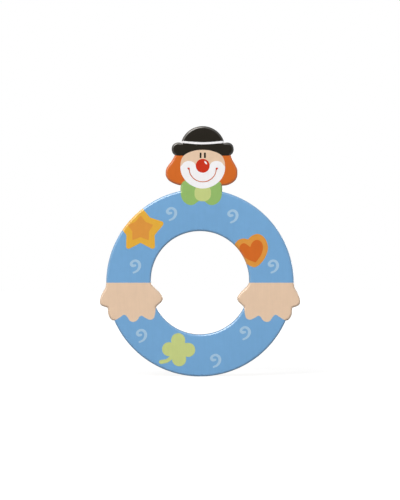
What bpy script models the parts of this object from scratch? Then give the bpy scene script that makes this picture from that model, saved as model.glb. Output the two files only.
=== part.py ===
# Wooden clown letter O for a nursery door.
# The ring is the clown's blue suit, with the head on top and a hand on each side.
# It is drawn lying face up (x right, y up, z towards the viewer, z = 0 on the door)
# and its parent empty stands it upright, so the front faces -Y. Lengths are in metres.

import math

import bmesh
import bpy
from mathutils import Vector
from mathutils.geometry import interpolate_bezier

# Board: five cross-laid plies glued up and routed to one outline, with no hole under the router's bit
RING_DIAMETER = 0.0825
HOLE_WIDTH = 0.0433
HOLE_STRAIGHT = 0.0022
PLY_THICKNESS = 0.0012
GLUE_LINE = 0.0001
EDGE_ROUND = 0.0010
ROUTER_BIT = 0.0030
PLY_NAMES = ("back_face_ply", "back_cross_ply", "core_ply", "front_cross_ply", "front_face_ply")

# Self-adhesive foam pads on the back, on the middle line of the ring
PAD_DIAMETER = 0.0120
PAD_THICKNESS = 0.0010
PAD_EDGE_ROUND = 0.0002
PAD_ANGLES = {"pad_top": 90, "pad_left": 210, "pad_right": 330}

# Printed coats on the front: thickness of one colour, the clearance around it,
# and how far it runs down the rounded edge
COAT_THICKNESS = 0.00010
COAT_GAP = 0.00002
COAT_WRAP = 0.0004

# Hands: length below the wrists, which lie on the ring's level middle line
HAND_LENGTH = 0.0174

# Bow tie, across the top edge of the ring
BOW_SHIFT = 0.0006
BOW_SINK = 0.0018
BOW_WIDTH = 0.0182
BOW_HEIGHT = 0.0106
KNOT_WIDTH = 0.0072
KNOT_HEIGHT = 0.0072
KNOT_ROUND = 0.0031

# Head: its axis right of the ring's centre, and the face's centre above the ring's top.
# The hair leaves the hat at its root and spreads from there, both measured from the axis.
HEAD_SHIFT = 0.0012
FACE_RISE = 0.0087
FACE_WIDTH = 0.0197
FACE_HEIGHT = 0.0170
HAIR_ROOT = 0.0123
HAIR_SPREAD_LEFT = 0.0163
HAIR_SPREAD_RIGHT = 0.0153
HAIR_LENGTH = 0.0132
HAIR_RISE = 0.0062

# Hat: the brim's middle above the top of the face, the crown standing on the band
BRIM_RISE = 0.00035
BRIM_WIDTH = 0.0273
BRIM_HEIGHT = 0.0058
BRIM_ROUND = 0.00275
BAND_WIDTH = 0.00095
BAND_SAG = 0.0007
CROWN_WIDTH = 0.0185
CROWN_HEIGHT = 0.0064

# Features on the face, placed from its centre
NOSE_DIAMETER = 0.0061
NOSE_RISE = 0.0015
GLINT_LENGTH = 0.0017
GLINT_WIDTH = 0.0007
GLINT_REACH = 0.0019
GLINT_ANGLE = 47
GLINT_TILT = -52
EYE_WIDTH = 0.0008
EYE_HEIGHT = 0.0024
EYE_ROUND = 0.0002
EYE_SPACING = 0.0019
EYE_RISE = 0.0061
SMILE_WIDTH = 0.0118
SMILE_DEPTH = 0.00555
SMILE_STROKE = 0.00034
DIMPLE_OUTSET = 0.00037
DIMPLE_RISE = 0.00027
DIMPLE_SIZE = 0.0010
DIMPLE_ROUND = 0.00015

# Ornaments on the suit: angle around the ring, and distance outside its middle line
STAR_ANGLE = 138.7
STAR_OUTSET = 0.0031
STAR_RADIUS = 0.0109
STAR_TIP_ROUND = 0.0011
STAR_WAIST_ROUND = 0.0006
STAR_CENTRE_RISE = 0.0007
STAR_CENTRE_RADIUS = 0.0062
STAR_CENTRE_TIP_ROUND = 0.0004
STAR_CENTRE_WAIST_ROUND = 0.0003
HEART_ANGLE = 32.2
HEART_OUTSET = -0.00515
HEART_WIDTH = 0.0149
HEART_HEIGHT = 0.01465
HEART_CENTRE_DROP = 0.00025
HEART_CENTRE_WIDTH = 0.0104
HEART_CENTRE_HEIGHT = 0.00995
CLOVER_ANGLE = 252.3
CLOVER_OUTSET = -0.0008
LEAF_DIAMETER = 0.0062
LEAF_REACH = 0.0042
LEAF_TURNS = (-1, 93, 177, 273)
STEM_SPAN = 0.0080
STEM_DROP = 0.0053
STEM_STROKE = 0.0016
SWIRL_WIDTH = 0.0051
SWIRL_HEIGHT = 0.0062
SWIRL_ANGLES = (112.4, 165.8, 63.6, 12.5, 222.3, 312, 281.4)
SWIRL_OUTSETS = (0.0010, -0.0025, 0.0009, 0.0014, 0.0030, -0.0019, 0.0033)

# Outlines, as shares of the sizes above. A hand runs across the band of the ring
# (0 at its outer edge, 1 at the hole) and down from the wrist (0) to the longest finger (1).
# Hair runs out from its root (0) to its spread (1) and down its length. A star alternates
# tips and corners, anticlockwise from the top, and a heart runs clockwise from its notch.
HAND_SHARES = ((0.00, 0.00), (-0.02, 0.125), (-0.082, 0.247), (-0.125, 0.355), (-0.144, 0.455),
               (-0.138, 0.53), (-0.10, 0.58), (-0.04, 0.607), (0.03, 0.635), (0.037, 0.70),
               (0.045, 0.80), (0.095, 0.91), (0.16, 0.955), (0.32, 0.865), (0.41, 0.81),
               (0.485, 0.885), (0.53, 0.96), (0.605, 0.99), (0.69, 0.95), (0.74, 0.87),
               (0.785, 0.835), (0.88, 0.89), (0.99, 0.935), (1.06, 0.90), (1.095, 0.80),
               (1.11, 0.625), (1.165, 0.56), (1.236, 0.487), (1.268, 0.40), (1.215, 0.28),
               (1.115, 0.165), (1.03, 0.065), (1.00, 0.00))
HAND_CORNERS = (0, 8, 25, 32)
FACE_SHARES = ((0.00, 1.00), (0.46, 0.93), (0.87, 0.67), (1.00, 0.10), (0.90, -0.37), (0.57, -0.79),
               (0.00, -1.00), (-0.57, -0.79), (-0.90, -0.37), (-1.00, 0.10), (-0.87, 0.67),
               (-0.46, 0.93))
MUZZLE_SHARES = ((-1.15, -1.15), (-1.15, 0.00), (-0.97, 0.16), (-0.83, 0.355), (-0.61, 0.43),
                 (-0.40, 0.345), (-0.28, 0.16), (0.00, 0.00), (0.28, 0.16), (0.40, 0.345),
                 (0.61, 0.43), (0.83, 0.355), (0.97, 0.16), (1.15, 0.00), (1.15, -1.15))
MUZZLE_CORNERS = (0, 1, 7, 13, 14)
HAIR_SHARES = ((-0.10, -0.15), (0.00, 0.00), (0.39, 0.213), (0.73, 0.346), (0.96, 0.48), (1.00, 0.59),
               (0.97, 0.69), (0.74, 0.813), (0.47, 0.88), (0.03, 0.946), (-0.62, 1.00))
HAIR_CORNERS = (0, 1, 12)
HAIR_INNER_SHARE = 0.25
BOW_SHARES = ((0.00, 1.00), (0.85, 0.98), (0.985, 0.67), (1.00, 0.00), (0.97, -0.33), (0.88, -0.65),
              (0.73, -0.88), (0.54, -1.00), (0.37, -0.96), (0.23, -0.79), (0.00, -0.50))
BOW_CORNERS = (0, 10)
DIMPLE_SHARES = ((0.55, 0.42), (-0.42, 0.44), (-0.42, -0.90))
STAR_SHARES = (1.00, 0.62, 1.00, 0.605, 1.00, 0.50, 1.00, 0.60, 1.05, 0.65)
STAR_CENTRE_SHARES = (0.98, 0.62, 0.96, 0.62, 1.00, 0.58, 1.00, 0.63, 0.96, 0.62)
HEART_SHARES = ((-0.095, 0.336), (0.027, 0.446), (0.198, 0.500), (0.370, 0.410), (0.476, 0.221),
                (0.497, 0.047), (0.429, -0.176), (0.281, -0.392), (0.104, -0.500), (-0.086, -0.428),
                (-0.328, -0.224), (-0.488, 0.032), (-0.479, 0.191), (-0.376, 0.317), (-0.228, 0.362))
HEART_CORNERS = (0,)
HEART_CENTRE_SHARES = ((-0.040, 0.181), (0.049, 0.376), (0.234, 0.500), (0.428, 0.403), (0.500, 0.155),
                       (0.420, -0.164), (0.192, -0.500), (-0.019, -0.420), (-0.205, -0.323),
                       (-0.424, -0.075), (-0.492, 0.181), (-0.323, 0.350))
HEART_CENTRE_CORNERS = (0, 6)
SWIRL_SHARES = ((-0.04, 0.07, 0.9), (-0.25, 0.055, 1.2), (-0.38, 0.165, 1.1), (-0.275, 0.33, 0.95),
                (0.00, 0.41, 0.95), (0.26, 0.295, 1.1), (0.353, 0.08, 1.2), (0.277, -0.16, 1.05),
                (0.086, -0.337, 0.85), (-0.18, -0.437, 0.75))
SWIRL_STROKE_SHARE = 0.182
STEM_SHARES = ((-0.30, -0.45, 1.0), (-0.42, -0.66, 1.0), (-0.65, -0.92, 1.05), (-0.97, -1.02, 1.1))

# Faceting of the round stretches
RING_STEPS = 64
HOLE_STEPS = 26
ROUND_STEPS = 20
CORNER_STEPS = 3
CURVE_STEPS = 2
EDGE_RESOLUTION = 1
SHORTEST_EDGE = 0.0004
WELD = 0.000001

# How far cutters reach past the board, and the least upward share of a front face's normal
CUTTER_REACH = 0.002
FRONT_FACING = 0.5

# The roundest corner a box may have, as a share of its shorter side
FULLEST_ROUND = 0.48

# Colours of the wood, the foam and the inks, as 8-bit sRGB
BIRCH = (222, 190, 146)
CROSS_BIRCH = (196, 158, 112)
FOAM = (236, 234, 226)
SUIT_BLUE = (117, 166, 209)
SKIN = (227, 197, 169)
HAIR_ORANGE = (210, 108, 45)
HAT_BLACK = (45, 42, 37)
WHITE = (242, 240, 241)
NOSE_RED = (203, 57, 38)
SMILE_RED = (218, 96, 72)
BOW_GREEN = (146, 183, 105)
LEAF_GREEN = (195, 205, 132)
STAR_YELLOW = (227, 174, 71)
STAR_AMBER = (220, 149, 69)
SWIRL_BLUE = (160, 192, 216)
INK_ROUGHNESS = 0.42
WOOD_ROUGHNESS = 0.60
FOAM_ROUGHNESS = 0.90

# Places worked out from the sizes
RING_RADIUS = RING_DIAMETER / 2
MIDDLE_RADIUS = (RING_RADIUS + (HOLE_WIDTH + HOLE_STRAIGHT / 2) / 2) / 2
BOARD_THICKNESS = len(PLY_NAMES) * PLY_THICKNESS + (len(PLY_NAMES) - 1) * GLUE_LINE
SHEET_SIDE = 4 * RING_DIAMETER
BOARD_BACK = PAD_THICKNESS + COAT_GAP
BOARD_FRONT = BOARD_BACK + BOARD_THICKNESS
COAT_LEVELS = (1, 2, 3)
BOW_CENTRE = Vector((BOW_SHIFT, RING_RADIUS - BOW_SINK))
FACE_CENTRE = Vector((HEAD_SHIFT, RING_RADIUS + FACE_RISE))
NOSE_CENTRE = FACE_CENTRE + Vector((0, NOSE_RISE))
BRIM_CENTRE = FACE_CENTRE + Vector((0, FACE_HEIGHT / 2 + BRIM_RISE))
BAND_CENTRE = BRIM_CENTRE + Vector((0, BRIM_HEIGHT / 2))


def turned(angle, reach):
    """Return the vector of that length, at an angle in degrees from the x axis."""
    return Vector((math.cos(math.radians(angle)), math.sin(math.radians(angle)))) * reach


def on_ring(angle, outset):
    """Return a place on the ring, at an angle and a distance outside its middle line."""
    return turned(angle, MIDDLE_RADIUS + outset)


def oval(width, height, centre, tilt=0, steps=ROUND_STEPS):
    """Return the outline of an ellipse, turned by tilt degrees."""
    points = []
    for step in range(steps):
        turn = 2 * math.pi * step / steps
        reach = Vector((math.cos(turn) * width / 2, math.sin(turn) * height / 2))
        points.append(centre + turned(tilt, reach.x) + turned(tilt + 90, reach.y))
    return points


def filleted(corners, radii):
    """Return a closed outline through straight corners, each rounded by its own arc."""
    points = []
    for i, (corner, radius) in enumerate(zip(corners, radii)):
        before = (corners[i - 1] - corner).normalized()
        after = (corners[(i + 1) % len(corners)] - corner).normalized()
        half = before.angle(after) / 2
        middle = corner + (before + after).normalized() * radius / math.sin(half)
        start = corner + before * radius / math.tan(half) - middle
        end = corner + after * radius / math.tan(half) - middle
        for step in range(CORNER_STEPS + 1):
            points.append(middle + start.slerp(end, step / CORNER_STEPS).normalized() * radius)
    return points


def rounded_box(width, height, radius, centre):
    """Return the outline of a rectangle with rounded corners."""
    signs = ((-1, -1), (1, -1), (1, 1), (-1, 1))
    corners = [centre + Vector((x * width / 2, y * height / 2)) for x, y in signs]
    return filleted(corners, [min(radius, FULLEST_ROUND * min(width, height))] * len(corners))


def lean(knots, i, chord, corners, closed):
    """Return the direction in which a smooth curve passes a knot."""
    last = len(knots) - 1
    if i in corners or (not closed and i in (0, last)):
        return chord.normalized()
    before = (knots[i] - knots[i - 1]).normalized()
    after = (knots[(i + 1) % len(knots)] - knots[i]).normalized()
    return (before + after).normalized()


def smooth(knots, corners=(), closed=True):
    """Return points along a smooth curve through knots, with a break at each corner."""
    points = []
    count = len(knots)
    for i in range(count if closed else count - 1):
        j = (i + 1) % count
        chord = knots[j] - knots[i]
        reach = chord.length / 3
        leave = knots[i] + lean(knots, i, chord, corners, closed) * reach
        arrive = knots[j] - lean(knots, j, chord, corners, closed) * reach
        points += interpolate_bezier(knots[i], leave, arrive, knots[j], CURVE_STEPS + 1)[:-1]
    if not closed:
        points.append(knots[-1])
    return points


def stroke(knots, widths):
    """Return the outline of a brush stroke along a smooth path, with round ends."""
    path = smooth(knots, closed=False)
    half = []
    for i in range(len(path)):
        share = min(i / CURVE_STEPS, len(widths) - 1)
        low = min(int(share), len(widths) - 2)
        half.append((widths[low] + (widths[low + 1] - widths[low]) * (share - low)) / 2)
    left = []
    right = []
    for i, point in enumerate(path):
        along = (path[min(i + 1, len(path) - 1)] - path[max(i - 1, 0)]).normalized()
        across = Vector((-along.y, along.x)) * half[i]
        left.append(point + across)
        right.append(point - across)
    outline = left + round_end(path[-1], left[-1]) + right[::-1] + round_end(path[0], right[0])
    return outline


def round_end(centre, start):
    """Return the points of a half turn clockwise about centre, without its two ends."""
    reach = start - centre
    turns = [-math.pi * step / CORNER_STEPS for step in range(1, CORNER_STEPS)]
    return [centre + Vector((reach.x * math.cos(turn) - reach.y * math.sin(turn),
                             reach.x * math.sin(turn) + reach.y * math.cos(turn))) for turn in turns]


def hole_outline():
    """Return the oblong hole: two half circles joined by short straight sides."""
    straight = Vector((0, HOLE_STRAIGHT / 2))
    points = []
    for step in range(HOLE_STEPS + 1):
        turn = 180 * step / HOLE_STEPS
        points.append(turned(turn, HOLE_WIDTH / 2) + straight)
    return points + [-point for point in points]


def half_band(side):
    """Return half of the ring's band, above (1) or below (-1) the wrists."""
    outer = [turned(360 * step / RING_STEPS, RING_RADIUS) for step in range(RING_STEPS // 2 + 1)]
    inner = hole_outline()[:HOLE_STEPS + 1]
    clear = COAT_GAP / 2
    above = outer + [Vector((-HOLE_WIDTH / 2, 0))] + inner[::-1] + [Vector((HOLE_WIDTH / 2, 0))]
    return [Vector((point.x, side * (point.y + clear))) for point in above]


def hand_outline(side):
    """Return a hand, left (-1) or right (1), as wide at the wrist as the ring's band."""
    band = RING_RADIUS - HOLE_WIDTH / 2
    knots = [Vector((side * (RING_RADIUS - across * band), -down * HAND_LENGTH))
             for across, down in HAND_SHARES]
    return smooth(knots, HAND_CORNERS)


def on_face(shape):
    """Return knots given as shares of the face's half width and half height."""
    return [FACE_CENTRE + Vector((x * FACE_WIDTH / 2, y * FACE_HEIGHT / 2)) for x, y in shape]


def muzzle_outline():
    """Return the white muzzle: two rounded cheeks, running past the face's sides and chin."""
    return smooth(on_face(MUZZLE_SHARES), MUZZLE_CORNERS)


def hair_outline(side, spread):
    """Return one tuft of hair, left (-1) or right (1), running in under the face."""
    tuft = [(HAIR_ROOT + x * (spread - HAIR_ROOT), -y * HAIR_LENGTH) for x, y in HAIR_SHARES]
    inner = HAIR_INNER_SHARE * FACE_WIDTH
    around = [(inner, tuft[0][1]), *tuft, (inner, tuft[-1][1])]
    knots = [FACE_CENTRE + Vector((side * x, HAIR_RISE + y)) for x, y in around]
    return smooth(knots, HAIR_CORNERS)


def bow_outline(side, inner=COAT_GAP):
    """Return one half of the bow tie, left (-1) or right (1), from inner beside its middle."""
    half = BOW_WIDTH / 2 - inner
    knots = [BOW_CENTRE + Vector((side * (inner + x * half), y * BOW_HEIGHT / 2)) for x, y in BOW_SHARES]
    return smooth(knots, BOW_CORNERS)


def crown_outline():
    """Return the hat's crown: an arc over the band, with its sides running down into the brim."""
    base = BAND_CENTRE + Vector((0, (BAND_SAG + BAND_WIDTH) / 2))
    half = CROWN_WIDTH / 2
    radius = (half ** 2 + CROWN_HEIGHT ** 2) / (2 * CROWN_HEIGHT)
    middle = base + Vector((0, CROWN_HEIGHT - radius))
    reach = math.degrees(math.asin(half / radius))
    points = [BRIM_CENTRE + Vector((half, 0))]
    for step in range(ROUND_STEPS + 1):
        points.append(middle + turned(90 - reach + 2 * reach * step / ROUND_STEPS, radius))
    return points + [BRIM_CENTRE - Vector((half, 0))]


def band_outline():
    """Return the hat band: a strip that sags in the middle and reaches past the crown's sides."""
    half = CROWN_WIDTH / 2 + BAND_WIDTH
    lift = BAND_SAG / 2
    path = [BAND_CENTRE + Vector((-half, lift)), BAND_CENTRE + Vector((0, -lift)),
            BAND_CENTRE + Vector((half, lift))]
    middle = smooth(path, closed=False)
    rise = Vector((0, BAND_WIDTH / 2))
    return [point - rise for point in middle] + [point + rise for point in middle[::-1]]


def star_outline(centre, radius, shares, tip_round, waist_round):
    """Return an upright star whose tips and inner corners each have their own reach."""
    step = 360 / len(shares)
    corners = [centre + turned(90 + i * step, share * radius) for i, share in enumerate(shares)]
    return filleted(corners, [tip_round, waist_round] * (len(shares) // 2))


def heart_outline(centre, width, height, shares, corners):
    """Return a leaning heart with a smaller left lobe."""
    return smooth([centre + Vector((x * width, y * height)) for x, y in shares], corners)


def scaled_stroke(centre, shape, width, height, thickness):
    """Return a brush stroke whose path and widths are shares of its size."""
    knots = [centre + Vector((x * width, y * height)) for x, y, _ in shape]
    return stroke(knots, [share * thickness for _, _, share in shape])


def smile_outline():
    """Return the smile line: a half ellipse hanging between the two dimples."""
    path = []
    for step in range(ROUND_STEPS // 2 + 1):
        turn = math.pi * (1 + 2 * step / ROUND_STEPS)
        path.append(FACE_CENTRE + Vector((math.cos(turn) * SMILE_WIDTH / 2,
                                          math.sin(turn) * SMILE_DEPTH)))
    return stroke(path, [SMILE_STROKE] * len(path))


def dimple_outline(side):
    """Return the wedge at the left (-1) or right (1) end of the smile."""
    end = FACE_CENTRE + Vector((side * (SMILE_WIDTH / 2 + DIMPLE_OUTSET), DIMPLE_RISE))
    corners = [end + Vector((side * x, y)) * DIMPLE_SIZE for x, y in DIMPLE_SHARES]
    return filleted(corners, [DIMPLE_ROUND] * len(corners))


def colour_of(ink):
    """Return an 8-bit sRGB colour as linear values with full opacity."""
    shares = [value / 255 for value in ink]
    linear = [s / 12.92 if s <= 0.04045 else ((s + 0.055) / 1.055) ** 2.4 for s in shares]
    return (*linear, 1.0)


def finish(solid, ink, roughness):
    """Give a part its own material."""
    material = bpy.data.materials.new(solid.name)
    material.use_nodes = True
    shader = material.node_tree.nodes["Principled BSDF"]
    shader.inputs["Base Color"].default_value = colour_of(ink)
    shader.inputs["Roughness"].default_value = roughness
    shader.inputs["Metallic"].default_value = 0.0
    material.diffuse_color = colour_of(ink)
    solid.data.materials.clear()
    solid.data.materials.append(material)


def new_collection(name):
    """Return a new collection in the scene."""
    collection = bpy.data.collections.new(name)
    bpy.context.scene.collection.children.link(collection)
    return collection


def place(mesh, name, collection, height=0.0):
    """Return a new object for a mesh, at a height above the door and under the upright parent."""
    solid = bpy.data.objects.new(name, mesh)
    solid.location.z = height
    solid.parent = upright
    collection.objects.link(solid)
    if collection is cutters:
        solid.hide_render = True
        solid.display_type = "WIRE"
    return solid


def evaluated_mesh(thing):
    """Return a plain mesh of an object with its modifiers applied."""
    graph = bpy.context.evaluated_depsgraph_get()
    return bpy.data.meshes.new_from_object(thing.evaluated_get(graph))


def prism(name, outlines, low, high, collection, grow=0.0, edge=0.0):
    """Return a flat solid between two heights, grown sideways and with rounded edges if asked."""
    curve = bpy.data.curves.new(name, "CURVE")
    curve.dimensions = "2D"
    curve.fill_mode = "BOTH"
    curve.extrude = (high - low) / 2 - edge
    curve.bevel_depth = edge
    curve.bevel_resolution = EDGE_RESOLUTION
    curve.offset = grow - edge
    for outline in outlines:
        spline = curve.splines.new("POLY")
        spline.points.add(len(outline) - 1)
        for knot, point in zip(spline.points, outline):
            knot.co = (point.x, point.y, 0, 1)
        spline.use_cyclic_u = True
    drawn = bpy.data.objects.new(name, curve)
    collection.objects.link(drawn)
    mesh = evaluated_mesh(drawn)
    bpy.data.objects.remove(drawn)
    welded = bmesh.new()
    welded.from_mesh(mesh)
    bmesh.ops.remove_doubles(welded, verts=welded.verts, dist=WELD)
    welded.to_mesh(mesh)
    welded.free()
    return place(mesh, name, collection, (low + high) / 2)


def slab(name, low, high):
    """Return a wide sheet between two heights, still uncut."""
    mesh = bpy.data.meshes.new(name)
    sheet = bmesh.new()
    bmesh.ops.create_cube(sheet, size=1.0)
    bmesh.ops.scale(sheet, vec=(SHEET_SIDE, SHEET_SIDE, high - low), verts=sheet.verts)
    sheet.to_mesh(mesh)
    sheet.free()
    return place(mesh, name, parts, (low + high) / 2)


def cut(solid, operation, tool):
    """Add an exact boolean with a tool to a solid."""
    modifier = solid.modifiers.new(operation.lower(), "BOOLEAN")
    modifier.operation = operation
    modifier.solver = "EXACT"
    modifier.object = tool


def front_loops(solid):
    """Return the closed outlines of a solid's front face that a router can follow."""
    shape = bmesh.new()
    shape.from_mesh(evaluated_mesh(solid))
    bmesh.ops.remove_doubles(shape, verts=shape.verts, dist=WELD)
    shape.normal_update()
    front = {face for face in shape.faces if face.normal.z > FRONT_FACING}
    rim = {edge for edge in shape.edges if len(front.intersection(edge.link_faces)) == 1}
    loops = []
    while rim:
        edge = rim.pop()
        start, corner = edge.verts
        loop = [start.co.xy.copy()]
        while corner is not start:
            loop.append(corner.co.xy.copy())
            edge = next(other for other in corner.link_edges if other in rim)
            rim.remove(edge)
            corner = edge.other_vert(corner)
        if max((point - loop[0]).length for point in loop) > ROUTER_BIT:
            loops.append(spaced(loop))
    shape.free()
    return loops


def turn_at(loop, i):
    """Return how far a closed outline turns at one of its points."""
    arrive = loop[i] - loop[i - 1]
    leave = loop[(i + 1) % len(loop)] - loop[i]
    return arrive.angle(leave)


def spaced(loop):
    """Return a closed outline without crowded points: of each close pair, the flatter one goes."""
    kept = list(loop)
    i = 0
    while i < len(kept):
        after = (i + 1) % len(kept)
        if (kept[after] - kept[i]).length > SHORTEST_EDGE:
            i += 1
        else:
            kept.pop(min(i, after, key=lambda near: turn_at(kept, near)))
            i = max(i - 1, 0)
    return kept


def letter_body(name, loops, grow):
    """Return the whole rounded letter, grown on every side."""
    return prism(name, loops, BOARD_BACK - grow, BOARD_FRONT + grow, cutters, grow, EDGE_ROUND + grow)


def film(name, outline, level, ink, covered_by=(), joined=()):
    """Make one printed colour: its outline trimmed to a thin coat that follows the rounded front."""
    low = BOARD_FRONT - COAT_WRAP
    high = BOARD_FRONT + CUTTER_REACH
    coat = prism(name, [outline], low, high, parts)
    for number, more in enumerate(joined, 1):
        cut(coat, "UNION", prism("%s_piece_%d" % (name, number), [more], low, high, cutters))
    cut(coat, "INTERSECT", coat_tops[level])
    cut(coat, "DIFFERENCE", coat_floors[level])
    for cover in covered_by:
        cut(coat, "DIFFERENCE", cover)
    finish(coat, ink, INK_ROUGHNESS)
    return coat


def stencil(name, outline, grow=COAT_GAP):
    """Return a cutter through the whole letter in the shape of a printed colour."""
    return prism(name, [outline], BOARD_BACK - CUTTER_REACH, BOARD_FRONT + CUTTER_REACH, cutters, grow)


def make_silhouette():
    """Return the letter's outline: the ring joined with the hands, the bow and the head."""
    outline = prism("silhouette", [oval(RING_DIAMETER, RING_DIAMETER, Vector((0, 0)), 0, RING_STEPS),
                                   hole_outline()], BOARD_BACK, BOARD_FRONT, cutters)
    joined = {"hand_left": hand_outline(-1), "hand_right": hand_outline(1),
              "bow_left": bow_outline(-1, -SHORTEST_EDGE),
              "bow_right": bow_outline(1, -SHORTEST_EDGE), "face": face,
              "hair_left": hair_outline(-1, HAIR_SPREAD_LEFT),
              "hair_right": hair_outline(1, HAIR_SPREAD_RIGHT),
              "crown": crown_outline(),
              "brim": rounded_box(BRIM_WIDTH, BRIM_HEIGHT, BRIM_ROUND, BRIM_CENTRE)}
    for name, region in joined.items():
        cut(outline, "UNION", prism(name + "_piece", [region], BOARD_BACK, BOARD_FRONT, cutters))
    return front_loops(outline)


def make_plies():
    """Make the board: five plies cut from the rounded letter, with a glue line between them."""
    body = letter_body("letter_body", silhouette, 0.0)
    for i, name in enumerate(PLY_NAMES):
        low = BOARD_BACK + i * (PLY_THICKNESS + GLUE_LINE)
        below = EDGE_ROUND if i == 0 else 0.0
        above = EDGE_ROUND if i == len(PLY_NAMES) - 1 else 0.0
        ply = slab(name, low - below, low + PLY_THICKNESS + above)
        cut(ply, "INTERSECT", body)
        finish(ply, BIRCH if i % 2 == 0 else CROSS_BIRCH, WOOD_ROUGHNESS)


def make_pads():
    """Make the round foam pads that hold the letter on the door."""
    for name, angle in PAD_ANGLES.items():
        outline = oval(PAD_DIAMETER, PAD_DIAMETER, on_ring(angle, 0.0))
        pad = prism(name, [outline], 0.0, PAD_THICKNESS, parts, edge=PAD_EDGE_ROUND)
        finish(pad, FOAM, FOAM_ROUGHNESS)


def print_suit_and_hands():
    """Print the blue suit in two halves, with the hands over the lower one."""
    hands = {"left": hand_outline(-1), "right": hand_outline(1)}
    hand_stencils = [stencil("hand_%s_stencil" % side, hand) for side, hand in hands.items()]
    for side, hand in hands.items():
        film("hand_%s_print" % side, hand, 1, SKIN)
    film("suit_upper_print", half_band(1), 1, SUIT_BLUE, bow_stencils)
    film("suit_lower_print", half_band(-1), 1, SUIT_BLUE, hand_stencils)


def print_bow_tie():
    """Print the two bow halves, and the knot over them."""
    film("bow_left_print", bow_outline(-1), 1, BOW_GREEN, [face_stencil])
    film("bow_right_print", bow_outline(1), 1, BOW_GREEN, [face_stencil])
    knot = rounded_box(KNOT_WIDTH, KNOT_HEIGHT, KNOT_ROUND, Vector((HEAD_SHIFT, BOW_CENTRE.y)))
    film("bow_knot_print", knot, 2, LEAF_GREEN, [face_stencil])


def print_head():
    """Print the hair, the hat and the bare face."""
    brim = rounded_box(BRIM_WIDTH, BRIM_HEIGHT, BRIM_ROUND, BRIM_CENTRE)
    brim_stencil = stencil("brim_stencil", brim)
    crown_stencil = stencil("crown_stencil", crown_outline())
    over_hair = [face_stencil, brim_stencil, *bow_stencils]
    film("hair_left_print", hair_outline(-1, HAIR_SPREAD_LEFT), 1, HAIR_ORANGE, over_hair)
    film("hair_right_print", hair_outline(1, HAIR_SPREAD_RIGHT), 1, HAIR_ORANGE, over_hair)
    film("hat_crown_print", crown_outline(), 1, HAT_BLACK)
    film("hat_brim_print", brim, 1, HAT_BLACK, [face_stencil, crown_stencil])
    film("hat_band_print", band_outline(), 2, WHITE)
    film("face_print", face, 1, SKIN)


def print_features():
    """Print the white muzzle, the nose, the eyes and the smile on the face."""
    nose = oval(NOSE_DIAMETER, NOSE_DIAMETER, NOSE_CENTRE)
    glint = oval(GLINT_LENGTH, GLINT_WIDTH, NOSE_CENTRE + turned(GLINT_ANGLE, GLINT_REACH), GLINT_TILT)
    nose_stencil = stencil("nose_stencil", nose)
    muzzle = film("muzzle_print", muzzle_outline(), 2, WHITE, [nose_stencil])
    cut(muzzle, "INTERSECT", stencil("muzzle_limit", face, -COAT_GAP))
    film("nose_print", nose, 2, NOSE_RED)
    film("nose_glint_print", glint, 3, WHITE)
    film("smile_print", smile_outline(), 3, SMILE_RED, joined=[dimple_outline(-1), dimple_outline(1)])
    for side, name in ((-1, "eye_left_print"), (1, "eye_right_print")):
        centre = FACE_CENTRE + Vector((side * EYE_SPACING / 2, EYE_RISE))
        eye = rounded_box(EYE_WIDTH, EYE_HEIGHT, EYE_ROUND, centre)
        film(name, eye, 2, HAT_BLACK, [nose_stencil])


def print_star_and_heart():
    """Print the star at the ring's outer edge and the heart at its hole, each with a darker centre."""
    star = on_ring(STAR_ANGLE, STAR_OUTSET)
    raised = star + Vector((0, STAR_CENTRE_RISE))
    film("star_print", star_outline(star, STAR_RADIUS, STAR_SHARES, STAR_TIP_ROUND, STAR_WAIST_ROUND),
         2, STAR_YELLOW)
    film("star_centre_print", star_outline(raised, STAR_CENTRE_RADIUS, STAR_CENTRE_SHARES,
                                           STAR_CENTRE_TIP_ROUND, STAR_CENTRE_WAIST_ROUND), 3, STAR_AMBER)
    heart = on_ring(HEART_ANGLE, HEART_OUTSET)
    lowered = heart - Vector((0, HEART_CENTRE_DROP))
    film("heart_print", heart_outline(heart, HEART_WIDTH, HEART_HEIGHT, HEART_SHARES, HEART_CORNERS),
         2, STAR_AMBER)
    film("heart_centre_print", heart_outline(lowered, HEART_CENTRE_WIDTH, HEART_CENTRE_HEIGHT,
                                             HEART_CENTRE_SHARES, HEART_CENTRE_CORNERS), 3, HAIR_ORANGE)


def print_clover_and_swirls():
    """Print the clover, with its leaves joined at the middle, and the swirls around the suit."""
    clover = on_ring(CLOVER_ANGLE, CLOVER_OUTSET)
    middle = oval(2 * LEAF_REACH, 2 * LEAF_REACH, clover)
    leaves = [oval(LEAF_DIAMETER, LEAF_DIAMETER, clover + turned(turn, LEAF_REACH)) for turn in LEAF_TURNS]
    stem = scaled_stroke(clover, STEM_SHARES, STEM_SPAN, STEM_DROP, STEM_STROKE)
    film("clover_print", middle, 2, LEAF_GREEN, joined=[*leaves, stem])
    for number, (angle, outset) in enumerate(zip(SWIRL_ANGLES, SWIRL_OUTSETS), 1):
        swirl = scaled_stroke(on_ring(angle, outset), SWIRL_SHARES, SWIRL_WIDTH, SWIRL_HEIGHT,
                              SWIRL_STROKE_SHARE * SWIRL_HEIGHT)
        film("swirl_%d_print" % number, swirl, 2, SWIRL_BLUE)


for old in list(bpy.data.objects):
    bpy.data.objects.remove(old)

parts = new_collection("clown_letter")
cutters = new_collection("cutters")
upright = bpy.data.objects.new("upright", None)
upright.rotation_euler.x = math.pi / 2
parts.objects.link(upright)

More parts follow.
